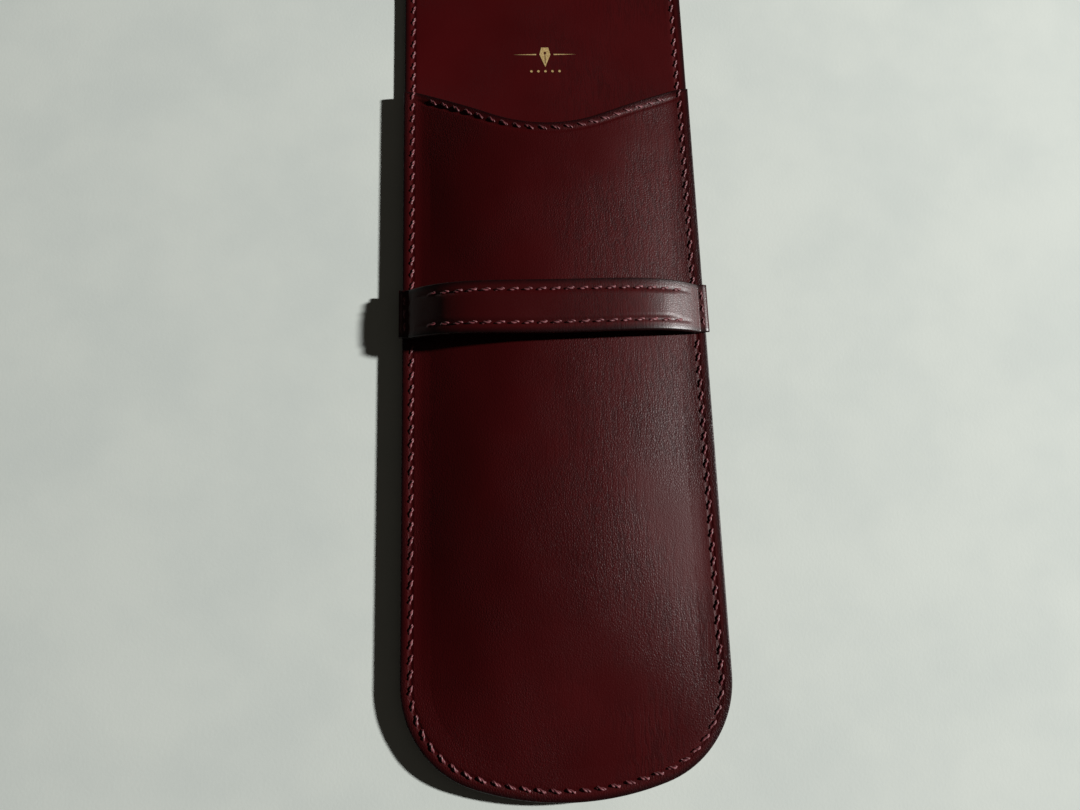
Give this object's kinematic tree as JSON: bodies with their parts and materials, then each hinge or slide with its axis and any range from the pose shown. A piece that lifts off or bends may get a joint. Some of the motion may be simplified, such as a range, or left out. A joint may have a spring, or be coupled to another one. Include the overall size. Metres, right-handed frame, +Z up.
{
  "type": "fountain pen case",
  "caption": "Slim leather pouch for fountain pens, lying open: domed pocket with a dipped mouth, a strap across its front and a long flap that folds over and tucks under the strap.",
  "frame": {"origin": "middle of the bounding box on the resting face, under the back panel", "axes": "+Y from the pocket's rounded bottom to the flap's end, +X to the right with the strap facing the viewer, +Z up out of the back panel"},
  "size_m": [0.0652, 0.2565, 0.0105],
  "materials": {
    "outer_leather": "burgundy box calf, lightly boarded lengthwise, semi-gloss, edges dyed dark and burnished",
    "lining_leather": "burgundy smooth calf lining, soft semi-gloss",
    "thread": "waxed twisted thread in burgundy, satin",
    "board": "fibre board, matt",
    "gilding": "hot-stamped gold foil, satin"
  },
  "bodies": {
    "pouch": {"back_panel": "outer_leather", "back_lining": "lining_leather", "back_stiffener": "board", "front_panel": "outer_leather", "front_lining": "lining_leather", "strap_leather": "outer_leather", "strap_lining": "lining_leather", "strap_filler": "board", "strap_thread_upper": "thread", "strap_thread_lower": "thread", "strap_foot_thread": "thread", "seam_thread_front": "thread", "seam_thread_back": "thread", "mouth_thread": "thread", "gilt_stamp": "gilding"},
    "fold": {"fold_leather": "outer_leather", "fold_lining": "lining_leather", "fold_thread": "thread"},
    "flap": {"flap_leather": "outer_leather", "flap_lining": "lining_leather", "flap_stiffener": "board", "flap_thread_lining_side": "thread", "flap_thread_leather_side": "thread"}
  },
  "joints": [
    {"name": "flap_fold", "type": "hinge", "parent": "pouch", "child": "fold", "pos_m": [0, 0.03448, 0.0013], "axis": [1, 0, 0], "range_deg": [0, 90]},
    {"name": "flap_press", "type": "hinge", "parent": "fold", "child": "flap", "pos_m": [0, 0.04052, 0.0013], "axis": [1, 0, 0], "range_deg": [0, 90]}
  ]
}
